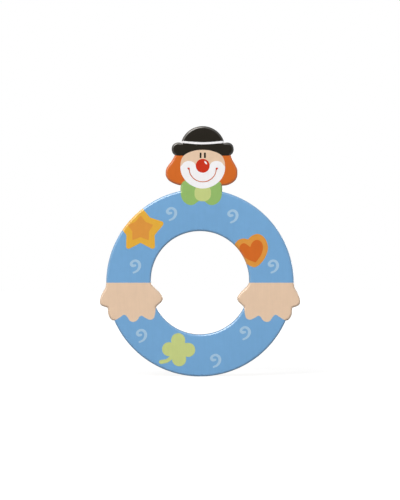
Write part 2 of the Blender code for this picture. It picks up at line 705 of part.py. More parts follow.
face = smooth(on_face(FACE_SHARES))
silhouette = make_silhouette()
coat_floors = {}
coat_tops = {}
for level in COAT_LEVELS:
    floor = COAT_GAP + (level - 1) * (COAT_THICKNESS + COAT_GAP)
    coat_floors[level] = letter_body("coat_floor_%d" % level, silhouette, floor)
    coat_tops[level] = letter_body("coat_top_%d" % level, silhouette, floor + COAT_THICKNESS)
face_stencil = stencil("face_stencil", face)
bow_stencils = [stencil("bow_left_stencil", bow_outline(-1)),
                stencil("bow_right_stencil", bow_outline(1))]

make_plies()
make_pads()
print_suit_and_hands()
print_bow_tie()
print_head()
print_features()
print_star_and_heart()
print_clover_and_swirls()
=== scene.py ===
# Looks of the wooden clown letter, laid over its solids.
# Outlines are drawn in millimetres on the letter's face, x right and y up, and depth counts
# from the door towards the viewer. toFrame turns a drawing into the frame's metres.

import math

import bpy
import numpy as np
from mathutils import Matrix, Vector
from mathutils.geometry import delaunay_2d_cdt, interpolate_bezier
from mathutils.kdtree import KDTree


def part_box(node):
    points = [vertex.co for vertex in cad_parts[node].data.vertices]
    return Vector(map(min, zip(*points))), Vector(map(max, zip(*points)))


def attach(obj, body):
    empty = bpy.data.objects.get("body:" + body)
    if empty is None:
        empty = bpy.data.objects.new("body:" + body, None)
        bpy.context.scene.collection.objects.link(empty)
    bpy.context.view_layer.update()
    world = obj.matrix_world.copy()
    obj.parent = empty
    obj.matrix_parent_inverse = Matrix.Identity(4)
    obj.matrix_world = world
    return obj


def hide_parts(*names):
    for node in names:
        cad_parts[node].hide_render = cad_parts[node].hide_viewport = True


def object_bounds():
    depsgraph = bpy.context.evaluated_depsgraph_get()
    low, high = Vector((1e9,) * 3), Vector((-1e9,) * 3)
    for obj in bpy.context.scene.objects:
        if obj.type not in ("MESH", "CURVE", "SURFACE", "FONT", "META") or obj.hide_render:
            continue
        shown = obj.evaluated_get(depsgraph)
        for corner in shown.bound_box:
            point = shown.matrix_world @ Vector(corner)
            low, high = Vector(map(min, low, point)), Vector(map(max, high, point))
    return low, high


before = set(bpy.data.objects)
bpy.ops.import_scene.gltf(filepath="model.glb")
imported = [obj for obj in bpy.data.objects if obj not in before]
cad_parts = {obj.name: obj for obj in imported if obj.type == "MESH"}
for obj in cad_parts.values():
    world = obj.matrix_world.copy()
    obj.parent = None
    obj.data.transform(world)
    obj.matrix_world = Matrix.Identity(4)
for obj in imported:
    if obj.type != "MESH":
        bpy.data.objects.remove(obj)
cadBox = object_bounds()
mm = 0.001
print("frame loaded:", len(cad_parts), "solids")


# Small tools for drawing outlines

drawing = {
    "arcStep": 4.0,        # degrees between the points of an arc
    "curveSteps": 10,      # points between two knots of a smooth outline
    "endSteps": 12,        # points round the end of a brush stroke
}


def turned(angle, reach):
    return Vector((math.cos(math.radians(angle)), math.sin(math.radians(angle)))) * reach


def arc(centre, radius, start, end):
    steps = max(2, math.ceil(abs(end - start) / drawing["arcStep"]))
    return [centre + turned(start + (end - start) * i / steps, radius) for i in range(steps + 1)]


def oval(width, height, centre, tilt=0.0, step=None):
    steps = math.ceil(360 / (step or drawing["arcStep"]))
    points = []
    for i in range(steps):
        turn = 2 * math.pi * i / steps
        points.append(centre + turned(tilt, math.cos(turn) * width / 2)
                      + turned(tilt + 90, math.sin(turn) * height / 2))
    return points


def filleted(corners, radii):
    points = []
    for i, (corner, radius) in enumerate(zip(corners, radii)):
        before = (corners[i - 1] - corner).normalized()
        after = (corners[(i + 1) % len(corners)] - corner).normalized()
        half = before.angle(after) / 2
        middle = corner + (before + after).normalized() * radius / math.sin(half)
        start = corner + before * radius / math.tan(half) - middle
        end = corner + after * radius / math.tan(half) - middle
        steps = max(3, math.ceil(math.degrees(start.angle(end)) / drawing["arcStep"]))
        for step in range(steps + 1):
            points.append(middle + start.slerp(end, step / steps).normalized() * radius)
    return points


def roundedBox(width, height, radius, centre):
    signs = ((-1, -1), (1, -1), (1, 1), (-1, 1))
    corners = [centre + Vector((x * width / 2, y * height / 2)) for x, y in signs]
    return filleted(corners, [radius] * len(corners))


def heading(knots, i, chord, corners, closed):
    if i in corners or (not closed and i in (0, len(knots) - 1)):
        return chord.normalized()
    before = (knots[i] - knots[i - 1]).normalized()
    after = (knots[(i + 1) % len(knots)] - knots[i]).normalized()
    return (before + after).normalized()


def smooth(knots, corners=(), closed=True):
    points = []
    count = len(knots)
    for i in range(count if closed else count - 1):
        j = (i + 1) % count
        chord = knots[j] - knots[i]
        leave = knots[i] + heading(knots, i, chord, corners, closed) * chord.length / 3
        arrive = knots[j] - heading(knots, j, chord, corners, closed) * chord.length / 3
        points += interpolate_bezier(knots[i], leave, arrive, knots[j], drawing["curveSteps"] + 1)[:-1]
    return points if closed else points + [knots[-1]]


def stroke(path, widths):
    left, right = [], []
    for i, point in enumerate(path):
        along = (path[min(i + 1, len(path) - 1)] - path[max(i - 1, 0)]).normalized()
        across = Vector((-along.y, along.x)) * widths[i] / 2
        left.append(point + across)
        right.append(point - across)
    return left + roundEnd(path[-1], left[-1]) + right[::-1] + roundEnd(path[0], right[0])


def roundEnd(centre, start):
    reach = start - centre
    angle = math.degrees(math.atan2(reach.y, reach.x))
    steps = drawing["endSteps"]
    return [centre + turned(angle - 180 * i / steps, reach.length) for i in range(1, steps)]


def brushed(centre, shares, width, height, thickness):
    knots = [centre + Vector((x * width, y * height)) for x, y, _ in shares]
    path = smooth(knots, closed=False)
    knotWidths = [share * thickness for _, _, share in shares]
    widths = np.interp(np.arange(len(path)) / drawing["curveSteps"], range(len(shares)), knotWidths)
    return stroke(path, widths)


# Ring and hands: the suit and the two hands of the clown

ring = {"radius": 41.25, "holeWidth": 43.3, "holeStraight": 2.2, "arcStep": 1.5}
hand = {
    "length": 17.4,
    # across the band from its outer edge to the hole, and down from the wrist to the longest finger
    "shares": ((0.00, 0.00), (-0.02, 0.125), (-0.082, 0.247), (-0.125, 0.355), (-0.144, 0.455),
               (-0.138, 0.53), (-0.10, 0.58), (-0.04, 0.607), (0.03, 0.635), (0.037, 0.70),
               (0.045, 0.80), (0.095, 0.91), (0.16, 0.955), (0.32, 0.865), (0.41, 0.81),
               (0.485, 0.885), (0.53, 0.96), (0.605, 0.99), (0.69, 0.95), (0.74, 0.87),
               (0.785, 0.835), (0.88, 0.89), (0.99, 0.935), (1.06, 0.90), (1.095, 0.80),
               (1.11, 0.625), (1.165, 0.56), (1.236, 0.487), (1.268, 0.40), (1.215, 0.28),
               (1.115, 0.165), (1.03, 0.065), (1.00, 0.00)),
    "corners": (0, 8, 25, 32),
}
middleRadius = (ring["radius"] + (ring["holeWidth"] + ring["holeStraight"] / 2) / 2) / 2


def ringOutline():
    return oval(2 * ring["radius"], 2 * ring["radius"], Vector((0, 0)), 0, ring["arcStep"])


def holeOutline():
    lift = Vector((0, ring["holeStraight"] / 2))
    steps = math.ceil(180 / ring["arcStep"])
    upper = [turned(180 * i / steps, ring["holeWidth"] / 2) + lift for i in range(steps + 1)]
    return upper + [-point for point in upper]


def handOutline(side):
    band = ring["radius"] - ring["holeWidth"] / 2
    knots = [Vector((side * (ring["radius"] - across * band), -down * hand["length"]))
             for across, down in hand["shares"]]
    return smooth(knots, hand["corners"])


def onRing(angle, outset):
    return turned(angle, middleRadius + outset)


# Bow tie, across the top edge of the ring

bow = {
    "shift": 0.6, "sink": 1.8, "width": 18.2, "height": 10.6, "overlap": 0.02,
    "knotWidth": 7.2, "knotHeight": 7.2, "knotRound": 3.1,
    "shares": ((0.00, 1.00), (0.85, 0.98), (0.985, 0.67), (1.00, 0.00), (0.97, -0.33), (0.88, -0.65),
               (0.73, -0.88), (0.54, -1.00), (0.37, -0.96), (0.23, -0.79), (0.00, -0.50)),
    "corners": (0, 10),
}
bowCentre = Vector((bow["shift"], ring["radius"] - bow["sink"]))


def bowOutline(side):
    inner = -bow["overlap"]
    half = bow["width"] / 2 - inner
    knots = [bowCentre + Vector((side * (inner + x * half), y * bow["height"] / 2))
             for x, y in bow["shares"]]
    return smooth(knots, bow["corners"])


# Head: face, hair and hat

head = {
    "shift": 1.2, "rise": 8.7, "width": 19.7, "height": 17.0,
    "shares": ((0.00, 1.00), (0.46, 0.93), (0.87, 0.67), (1.00, 0.10), (0.90, -0.37), (0.57, -0.79),
               (0.00, -1.00), (-0.57, -0.79), (-0.90, -0.37), (-1.00, 0.10), (-0.87, 0.67),
               (-0.46, 0.93)),
    "muzzleShares": ((-1.15, -1.15), (-1.15, 0.00), (-0.97, 0.16), (-0.83, 0.355), (-0.61, 0.43),
                     (-0.40, 0.345), (-0.28, 0.16), (0.00, 0.00), (0.28, 0.16), (0.40, 0.345),
                     (0.61, 0.43), (0.83, 0.355), (0.97, 0.16), (1.15, 0.00), (1.15, -1.15)),
    "muzzleCorners": (0, 1, 7, 13, 14),
}
hair = {
    "root": 12.3, "spreadLeft": 16.3, "spreadRight": 15.3, "length": 13.2, "rise": 6.2,
    # out from the root to the spread, and down the length
    "shares": ((-0.10, -0.15), (0.00, 0.00), (0.39, 0.213), (0.73, 0.346), (0.96, 0.48), (1.00, 0.59),
               (0.97, 0.69), (0.74, 0.813), (0.47, 0.88), (0.03, 0.946), (-0.62, 1.00)),
    "corners": (0, 1, 12), "innerShare": 0.25,
}
hat = {
    "brimRise": 0.35, "brimWidth": 27.3, "brimHeight": 5.8, "brimRound": 2.75,
    "bandWidth": 0.95, "bandSag": 0.7, "crownWidth": 18.5, "crownHeight": 6.4,
}
faceCentre = Vector((head["shift"], ring["radius"] + head["rise"]))
brimCentre = faceCentre + Vector((0, head["height"] / 2 + hat["brimRise"]))
bandCentre = brimCentre + Vector((0, hat["brimHeight"] / 2))


def onFace(shares):
    return [faceCentre + Vector((x * head["width"] / 2, y * head["height"] / 2)) for x, y in shares]


def hairOutline(side, spread):
    tuft = [(hair["root"] + x * (spread - hair["root"]), -y * hair["length"]) for x, y in hair["shares"]]
    inner = hair["innerShare"] * head["width"]      # under the face
    around = [(inner, tuft[0][1]), *tuft, (inner, tuft[-1][1])]
    knots = [faceCentre + Vector((side * x, hair["rise"] + y)) for x, y in around]
    return smooth(knots, hair["corners"])


def crownOutline():
    half, height = hat["crownWidth"] / 2, hat["crownHeight"]
    base = bandCentre + Vector((0, (hat["bandSag"] + hat["bandWidth"]) / 2))
    radius = (half ** 2 + height ** 2) / (2 * height)
    reach = math.degrees(math.asin(half / radius))
    over = arc(base + Vector((0, height - radius)), radius, 90 - reach, 90 + reach)
    return [brimCentre + Vector((half, 0)), *over, brimCentre - Vector((half, 0))]


def bandOutline():
    half = hat["crownWidth"] / 2 + hat["bandWidth"]
    lift = hat["bandSag"] / 2
    path = smooth([bandCentre + Vector((-half, lift)), bandCentre + Vector((0, -lift)),
                   bandCentre + Vector((half, lift))], closed=False)
    rise = Vector((0, hat["bandWidth"] / 2))
    return [point - rise for point in path] + [point + rise for point in path[::-1]]


# Features on the face

features = {
    "noseDiameter": 6.1, "noseRise": 1.5,
    "glintLength": 1.7, "glintWidth": 0.7, "glintReach": 1.9, "glintAngle": 47, "glintTilt": -52,
    "eyeWidth": 0.8, "eyeHeight": 2.4, "eyeRound": 0.2, "eyeSpacing": 1.9, "eyeRise": 6.1,
    "smileWidth": 11.8, "smileDepth": 5.55, "smileStroke": 0.38,
    "dimpleOutset": 0.37, "dimpleRise": 0.15, "dimpleSize": 1.2, "dimpleRound": 0.15,
    "dimpleShares": ((0.55, 0.42), (-0.42, 0.44), (-0.42, -0.90)),
    "glintStep": 15, "smileStep": 4,      # degrees between points
}
noseCentre = faceCentre + Vector((0, features["noseRise"]))


def noseOutline():
    return oval(features["noseDiameter"], features["noseDiameter"], noseCentre)


def glintOutline():
    place = noseCentre + turned(features["glintAngle"], features["glintReach"])
    return oval(features["glintLength"], features["glintWidth"], place,
                features["glintTilt"], features["glintStep"])


def eyeOutline(side):
    place = faceCentre + Vector((side * features["eyeSpacing"] / 2, features["eyeRise"]))
    return roundedBox(features["eyeWidth"], features["eyeHeight"], features["eyeRound"], place)


def smileOutline():
    half, depth = features["smileWidth"] / 2, features["smileDepth"]
    path = [faceCentre + Vector((math.cos(math.radians(a)) * half, math.sin(math.radians(a)) * depth))
            for a in range(180, 361, features["smileStep"])]
    return stroke(path, [features["smileStroke"]] * len(path))


def dimpleOutline(side):
    end = faceCentre + Vector((side * (features["smileWidth"] / 2 + features["dimpleOutset"]),
                               features["dimpleRise"]))
    corners = [end + Vector((side * x, y)) * features["dimpleSize"] for x, y in features["dimpleShares"]]
    return filleted(corners, [features["dimpleRound"]] * len(corners))


# Ornaments on the suit

star = {
    "angle": 138.7, "outset": 3.1, "radius": 10.9, "tipRound": 1.1, "waistRound": 0.6,
    "centreRise": 0.7, "centreRadius": 6.2, "centreTipRound": 0.4, "centreWaistRound": 0.3,
    # reach of the tips and of the corners between them, anticlockwise from the top
    "shares": (1.00, 0.62, 1.00, 0.605, 1.00, 0.50, 1.00, 0.60, 1.05, 0.65),
    "centreShares": (0.98, 0.62, 0.96, 0.62, 1.00, 0.58, 1.00, 0.63, 0.96, 0.62),
}
heart = {
    "angle": 32.2, "outset": -5.15, "width": 14.9, "height": 14.65,
    "centreDrop": 0.25, "centreWidth": 10.4, "centreHeight": 9.95,
    # right and up from the middle, clockwise from the notch
    "shares": ((-0.095, 0.336), (0.027, 0.446), (0.198, 0.500), (0.370, 0.410), (0.476, 0.221),
               (0.497, 0.047), (0.429, -0.176), (0.281, -0.392), (0.104, -0.500), (-0.086, -0.428),
               (-0.328, -0.224), (-0.488, 0.032), (-0.479, 0.191), (-0.376, 0.317), (-0.228, 0.362)),
    "centreShares": ((-0.040, 0.181), (0.049, 0.376), (0.234, 0.500), (0.428, 0.403), (0.500, 0.155),
                     (0.420, -0.164), (0.192, -0.500), (-0.019, -0.420), (-0.205, -0.323),
                     (-0.424, -0.075), (-0.492, 0.181), (-0.323, 0.350)),
    "corners": (0,), "centreCorners": (0, 6),
}
clover = {
    "angle": 252.3, "outset": -0.8,
    "leafDiameter": 6.2, "leafReach": 4.2, "leafAngles": (-1, 93, 177, 273),
    "stemSpan": 8.0, "stemDrop": 5.3, "stemStroke": 1.6,
    "stemShares": ((-0.30, -0.45, 1.0), (-0.42, -0.66, 1.0), (-0.65, -0.92, 1.05), (-0.97, -1.02, 1.1)),
}
swirl = {
    "width": 5.1, "height": 6.2, "strokeShare": 0.182, "coatLevel": 2,
    # angle round the ring, and outset from the middle of its band
    "places": ((112.4, 1), (165.8, -2.5), (63.6, 0.9), (12.5, 1.4), (222.3, 3), (312, -1.9),
               (281.4, 3.3)),
    # right and up from the middle, and the brush's width
    "shares": ((-0.04, 0.07, 0.9), (-0.25, 0.055, 1.2), (-0.38, 0.165, 1.1), (-0.275, 0.33, 0.95),
               (0.00, 0.41, 0.95), (0.26, 0.295, 1.1), (0.353, 0.08, 1.2), (0.277, -0.16, 1.05),
               (0.086, -0.337, 0.85), (-0.18, -0.437, 0.75)),
}


def starOutline(rise, radius, shares, tipRound, waistRound):
    centre = onRing(star["angle"], star["outset"]) + Vector((0, rise))
    step = 360 / len(shares)
    corners = [centre + turned(90 + i * step, share * radius) for i, share in enumerate(shares)]
    return filleted(corners, [tipRound, waistRound] * (len(shares) // 2))


def heartOutline(drop, width, height, shares, corners):
    centre = onRing(heart["angle"], heart["outset"]) - Vector((0, drop))
    return smooth([centre + Vector((x * width, y * height)) for x, y in shares], corners)


def cloverOutlines():
    centre = onRing(clover["angle"], clover["outset"])
    reach, size = clover["leafReach"], clover["leafDiameter"]
    leaves = [oval(size, size, centre + turned(angle, reach)) for angle in clover["leafAngles"]]
    stem = brushed(centre, clover["stemShares"], clover["stemSpan"], clover["stemDrop"],
                   clover["stemStroke"])
    return [oval(2 * reach, 2 * reach, centre), *leaves, stem]


def swirlOutline():
    return brushed(Vector((0, 0)), swirl["shares"], swirl["width"], swirl["height"],
                   swirl["strokeShare"] * swirl["height"])


# Plan of the front: one triangulation that holds every outline and the rows of the rounded edge

board = {
    "edgeRound": 1.0,      # radius of the routed edge, front and back
    "edgeRows": 9,         # rows of points over a quarter of the rounding
    "rowSpacing": 0.22,    # longest step along the cut edge
    "routerBit": 3.0,      # smaller gaps between the outlines stay uncut
    "snap": 0.0005,        # closer points are merged
    "onEdge": 0.0001,      # closer places count as lying on the cut edge
}
coat = {
    "thickness": 0.03, "gap": 0.004,
    "wrap": 0.80, "wander": 0.10,      # drop of the print over the rounded edge
    "waveAcross": 1.1, "waveUp": 1.3, "waveShift": 0.5, "bend": 0.7, "bendUp": 0.9,
}
boardBack = -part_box("back_face_ply")[1].y / mm
boardFront = -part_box("front_face_ply")[0].y / mm


def asArray(points):
    return np.array([tuple(point) for point in points])


def triangulate(loops):
    points, edges = [], []
    for loop in loops:
        first = len(points)
        points += loop
        edges += [(first + i, first + (i + 1) % len(loop)) for i in range(len(loop))]
    spots, _, faces, _, _, _ = delaunay_2d_cdt(points, edges, [], 0, board["snap"], False)
    return asArray(spots), np.array(faces)


def inside(points, outline):
    x, y = points[:, 0], points[:, 1]
    corners = asArray(outline)
    result = np.zeros(len(points), bool)
    low, high = corners.min(axis=0), corners.max(axis=0)
    near = np.nonzero((x >= low[0]) & (x <= high[0]) & (y >= low[1]) & (y <= high[1]))[0]
    px, py = x[near], y[near]
    hits = np.zeros(len(near), int)
    for (ax, ay), (bx, by) in zip(corners, np.roll(corners, -1, axis=0)):
        if ay != by:
            crosses = (ay > py) != (by > py)
            hits += crosses & (px < ax + (py - ay) * (bx - ax) / (by - ay))
    result[near] = hits % 2 == 1
    return result


def rimEdges(faces):
    # directed edges that belong to one triangle only, with the triangle on their left
    ways = np.concatenate([faces[:, [0, 1]], faces[:, [1, 2]], faces[:, [2, 0]]])
    both = {(a, b) for a, b in ways.tolist()}
    return [(a, b) for a, b in both if (b, a) not in both]


def chained(edges):
    after = {}
    for a, b in edges:
        after.setdefault(a, []).append(b)
    loops = []
    while after:
        start = next(iter(after))
        loop, spot = [], start
        while True:
            loop.append(spot)
            ends = after[spot]
            nextSpot = ends.pop()
            if not ends:
                del after[spot]
            spot = nextSpot
            if spot == start:
                break
        loops.append(loop)
    return loops


def divided(loop, spacing):
    points = []
    for i, point in enumerate(loop):
        ahead = loop[(i + 1) % len(loop)]
        steps = max(1, math.ceil((ahead - point).length / spacing))
        points += [point.lerp(ahead, step / steps) for step in range(steps)]
    return points


outlines = {
    "ring": ringOutline(), "hole": holeOutline(),
    "handLeft": handOutline(-1), "handRight": handOutline(1),
    "bowLeft": bowOutline(-1), "bowRight": bowOutline(1),
    "knot": roundedBox(bow["knotWidth"], bow["knotHeight"], bow["knotRound"],
                       Vector((head["shift"], bowCentre.y))),
    "face": smooth(onFace(head["shares"])),
    "muzzle": smooth(onFace(head["muzzleShares"]), head["muzzleCorners"]),
    "hairLeft": hairOutline(-1, hair["spreadLeft"]), "hairRight": hairOutline(1, hair["spreadRight"]),
    "crown": crownOutline(), "band": bandOutline(),
    "brim": roundedBox(hat["brimWidth"], hat["brimHeight"], hat["brimRound"], brimCentre),
    "nose": noseOutline(), "glint": glintOutline(), "eyeLeft": eyeOutline(-1), "eyeRight": eyeOutline(1),
    "smile": smileOutline(), "dimpleLeft": dimpleOutline(-1), "dimpleRight": dimpleOutline(1),
    "star": starOutline(0, star["radius"], star["shares"], star["tipRound"], star["waistRound"]),
    "starCentre": starOutline(star["centreRise"], star["centreRadius"], star["centreShares"],
                              star["centreTipRound"], star["centreWaistRound"]),
    "heart": heartOutline(0, heart["width"], heart["height"], heart["shares"], heart["corners"]),
    "heartCentre": heartOutline(heart["centreDrop"], heart["centreWidth"], heart["centreHeight"],
                                heart["centreShares"], heart["centreCorners"]),
}
for number, outline in enumerate(cloverOutlines()):
    outlines["clover%d" % number] = outline
bodyNames = ("handLeft", "handRight", "bowLeft", "bowRight", "face", "hairLeft", "hairRight",
             "crown", "brim")


def cutLoops():
    # the outer edge and the hole of the letter, left by joining all its regions
    spots, faces = triangulate([outlines[name] for name in ("ring", "hole", *bodyNames)])
    middles = spots[faces].mean(axis=1)
    solid = inside(middles, outlines["ring"]) & ~inside(middles, outlines["hole"])
    for name in bodyNames:
        solid |= inside(middles, outlines[name])
    loops = []
    for loop in chained(rimEdges(faces[solid])):
        points = [Vector(spots[i]) for i in loop]
        if max((point - points[0]).length for point in points) > board["routerBit"]:
            loops.append(divided(points, board["rowSpacing"]))
    return loops


def outwardFrom(along):
    outward = np.stack([along[:, 1], -along[:, 0]], axis=1)
    return outward / np.linalg.norm(outward, axis=1, keepdims=True)


class CutEdge:
    # distance and direction from a place on the face to the letter's cut edge
    def __init__(self, loops):
        drawn = [asArray(loop) for loop in loops]
        self.points = np.concatenate(drawn)
        self.ahead = np.concatenate([np.roll(loop, -1, axis=0) for loop in drawn])
        self.behind = np.concatenate([np.roll(loop, 1, axis=0) for loop in drawn])
        self.tree = KDTree(len(self.points))
        for i, (x, y) in enumerate(self.points):
            self.tree.insert((x, y, 0), i)
        self.tree.balance()
        self.outward = outwardFrom(self.ahead - self.behind)

    def measure(self, places):
        nearest = np.array([self.tree.find((x, y, 0))[1] for x, y in places])
        best = self.points[nearest]
        reach = np.linalg.norm(best - places, axis=1)
        for other in (self.ahead, self.behind):
            start, way = self.points[nearest], other[nearest] - self.points[nearest]
            share = np.clip(((places - start) * way).sum(axis=1) / (way * way).sum(axis=1), 0, 1)
            foot = start + way * share[:, None]
            closer = np.linalg.norm(foot - places, axis=1) < reach
            best = np.where(closer[:, None], foot, best)
            reach = np.linalg.norm(best - places, axis=1)
        way = np.where(reach[:, None] > board["onEdge"], best - places, self.outward[nearest])
        return reach, way / np.linalg.norm(way, axis=1, keepdims=True)


def insetRows(loops, angles):
    # copies of the cut edge moved inwards, one for each angle of the rounding
    rows = []
    for loop in loops:
        for angle in angles:
            inset = board["edgeRound"] * (1 - math.sin(math.radians(angle)))
            row = []
            for i, point in enumerate(loop):
                along = loop[(i + 1) % len(loop)] - loop[i - 1]
                row.append(point - Vector((along.y, -along.x)).normalized() * inset)
            rows.append(row)
    return rows


class Plan:
    # triangles of the letter's face, with the rise and the lean of the rounded edge at each point
    def __init__(self, rows, drawn=()):
        angles = [90 * i / rows for i in range(rows)]
        self.spots, faces = triangulate([*cutEdges, *insetRows(cutEdges, angles), *drawn])
        middles = self.spots[faces].mean(axis=1)
        within = inside(middles, cutEdges[0])
        for loop in cutEdges[1:]:
            within ^= inside(middles, loop)
        self.faces = faces[within]
        self.middles = middles[within]
        reach, self.outward = cutEdge.measure(self.spots)
        self.lean = np.clip(1 - reach / board["edgeRound"], 0, 1)     # sine of the surface's slope
        self.rise = np.sqrt(1 - self.lean ** 2)                        # cosine of it

    def front(self, lift):
        # points at a height above the wood's rounded front
        flat = self.spots + self.outward * (self.lean * lift)[:, None]
        depth = boardFront - board["edgeRound"] + (board["edgeRound"] + lift) * self.rise
        return np.column_stack([flat, depth])

    def back(self):
        depth = boardBack + board["edgeRound"] * (1 - self.rise)
        return np.column_stack([self.spots, depth])


def wrapInset(places):
    # where the print ends on the rounded edge, wandering a little
    x, y = places[:, 0], places[:, 1]
    bend = coat["bend"] * np.sin(coat["bendUp"] * y)
    wave = np.sin(coat["waveAcross"] * x + bend) * np.cos(coat["waveUp"] * y + coat["waveShift"])
    drop = (coat["wrap"] + coat["wander"] * wave) / board["edgeRound"]
    return board["edgeRound"] * (1 - np.sqrt(1 - (1 - drop) ** 2))


def wrapLines():
    lines = []
    for loop in cutEdges:
        places = asArray(loop)
        outward = outwardFrom(np.roll(places, -1, axis=0) - np.roll(places, 1, axis=0))
        lines.append([Vector(spot) for spot in places - outward * wrapInset(places)[:, None]])
    return lines


cutEdges = sorted(cutLoops(), key=len, reverse=True)
cutEdge = CutEdge(cutEdges)
flatPlan = Plan(0)
barePlan = Plan(board["edgeRows"])
printPlan = Plan(board["edgeRows"], [*outlines.values(), *wrapLines()])
print("plan drawn:", [len(loop) for loop in cutEdges], "points on the cut edges,",
      len(printPlan.faces), "triangles on the printed face")


# Meshes from the plan

sharpBend = 40      # degrees, from which an edge is shaded crisp


def toFrame(points):
    return np.column_stack([points[:, 0], -points[:, 2], points[:, 1]]) * mm


def atDepth(spots, depth):
    return np.column_stack([spots, np.full(len(spots), depth)])


def placed(name, data):
    thing = bpy.data.objects.new(name, data)
    bpy.context.scene.collection.objects.link(thing)
    return thing


def newPiece(name, points, faces):
    mesh = bpy.data.meshes.new(name)
    mesh.from_pydata(toFrame(points).tolist(), [], faces)
    mesh.validate()
    mesh.shade_smooth()
    mesh.set_sharp_from_angle(angle=math.radians(sharpBend))
    return placed(name, mesh)


def shell(name, faces, top, bottom, lean=None):
    # a closed skin between two copies of the same triangles
    used = np.unique(faces)
    index = np.full(len(top), -1)
    index[used] = np.arange(len(used))
    upper = index[faces]
    lower = upper[:, ::-1] + len(used)
    rim = [(a + len(used), b + len(used), b, a) for a, b in rimEdges(upper)]
    points = np.concatenate([top[used], bottom[used]])
    piece = newPiece(name, points, [*upper.tolist(), *lower.tolist(), *rim])
    if lean is not None:
        edge = piece.data.attributes.new("edge", "FLOAT", "POINT")
        edge.data.foreach_set("value", np.tile(lean[used], 2).astype(np.float32))
    return piece


# Shader trees

class Val:
    # a socket in a shader tree; its operators add Math nodes
    def __init__(self, tree, socket):
        self.tree = tree
        self.socket = socket

    def __add__(self, other):
        return self.tree.maths("ADD", self, other)

    def __sub__(self, other):
        return self.tree.maths("SUBTRACT", self, other)

    def __rsub__(self, other):
        return self.tree.maths("SUBTRACT", other, self)

    def __mul__(self, other):
        return self.tree.maths("MULTIPLY", self, other)

    def __pow__(self, other):
        return self.tree.maths("POWER", self, other)

    __radd__ = __add__

    def of(self, name):
        return Val(self.tree, self.socket.node.outputs[name])


class ShaderTree:
    def __init__(self, owner):
        owner.use_nodes = True
        self.nodes = owner.node_tree.nodes
        self.links = owner.node_tree.links
        self.nodes.clear()

    def node(self, kind, settings=None, sockets=None):
        made = self.nodes.new(kind)
        for key, value in (settings or {}).items():
            if key == "stops":
                for element, (place, shade) in zip(made.color_ramp.elements, value):
                    element.position = place
                    element.color = (shade, shade, shade, 1)
            else:
                setattr(made, key, value)
        for key, value in (sockets or {}).items():
            if isinstance(value, Val):
                self.links.new(value.socket, made.inputs[key])
            else:
                made.inputs[key].default_value = value
        return Val(self, made.outputs[0]) if made.outputs else made

    def maths(self, operation, a, b):
        return self.node("ShaderNodeMath", {"operation": operation}, {0: a, 1: b})

    def mixed(self, share, a, b):
        return self.node("ShaderNodeMix", {"data_type": "RGBA"}, {0: share, 6: a, 7: b}).of(2)

    def ramp(self, value, low, high):
        return self.node("ShaderNodeValToRGB", {"stops": ((low, 0), (high, 1))}, {"Fac": value})

    def noise(self, place, scale, detail=2.0, roughness=0.5, distortion=0.0):
        return self.node("ShaderNodeTexNoise", {}, {"Vector": place, "Scale": scale, "Detail": detail,
                                                    "Roughness": roughness, "Distortion": distortion})

    def bump(self, strength, depth, height):
        return self.node("ShaderNodeBump", {}, {
            "Strength": strength, "Distance": depth * mm, "Height": height})

    def surface(self, shader):
        self.node("ShaderNodeOutputMaterial", {}, {"Surface": shader})

    def finish(self, sockets):
        self.surface(self.node("ShaderNodeBsdfPrincipled", {}, sockets))


white, black = (1, 1, 1, 1), (0, 0, 0, 1)


def linear(colour):
    # from the levels of a picture to shares of light
    shares = [value / 255 for value in colour]
    return (*(s / 12.92 if s <= 0.04045 else ((s + 0.055) / 1.055) ** 2.4 for s in shares), 1.0)


def blend(a, b, share):
    return a * (1 - share) + b * share


def inMillimetres(tree, stretch=(1, 1, 1)):
    place = tree.node("ShaderNodeTexCoord").of("Object")
    return tree.node("ShaderNodeMapping", {}, {"Vector": place, "Scale": [s / mm for s in stretch]})


# Birch veneer, with the grain upright in the face plies and level in the cross plies

birch = {
    "facePale": (229, 202, 160), "faceDark": (208, 172, 124),
    "crossPale": (205, 170, 124), "crossDark": (168, 128, 84),
    "pore": (140, 100, 62),
    "along": 0.05,         # stretch of the figure along the grain
    # noise: scale, detail, roughness and bend
    "figure": (0.16, 3.0, 0.55, 1.2), "streak": (1.9, 3.0, 0.6), "pores": (5.5, 1.0),
    "streakShare": 0.35, "shadeSpan": (0.36, 0.66), "poreSpan": (0.64, 0.74), "poreShare": 0.45,
    "relief": (0.35, 0.03), "streakRelief": 0.6,      # strength and depth
    "roughness": 0.52, "roughSpread": 0.16, "specular": 0.35,
}
uprightGrain = (1, 1, birch["along"])
levelGrain = (birch["along"], 1, 1)


def birchFinish(name, pale, dark, stretch):
    material = bpy.data.materials.new(name)
    tree = ShaderTree(material)
    place = inMillimetres(tree, stretch)
    figure = tree.noise(place, *birch["figure"])
    streak = tree.noise(place, *birch["streak"])
    pore = tree.ramp(tree.noise(place, *birch["pores"]), *birch["poreSpan"])
    shade = tree.ramp(blend(figure, streak, birch["streakShare"]), *birch["shadeSpan"])
    wood = tree.mixed(shade, linear(pale), linear(dark))
    wood = tree.mixed(pore * birch["poreShare"], wood, linear(birch["pore"]))
    relief = tree.bump(*birch["relief"], streak * birch["streakRelief"] - pore)
    tree.finish({
        "Base Color": wood, "Roughness": birch["roughness"] + streak * birch["roughSpread"],
        "Normal": relief, "Specular IOR Level": birch["specular"]})
    return material


# Glue between the plies

glue = {"pale": (122, 84, 50), "dark": (92, 60, 36), "mottle": (0.9, 3.0),
        "roughness": 0.35, "roughSpread": 0.2, "recess": 0.04}


def glueFinish():
    material = bpy.data.materials.new("plyGlue")
    tree = ShaderTree(material)
    mottle = tree.noise(inMillimetres(tree), *glue["mottle"])
    tree.finish({
        "Base Color": tree.mixed(mottle, linear(glue["pale"]), linear(glue["dark"])),
        "Roughness": glue["roughness"] + mottle * glue["roughSpread"]})
    return material


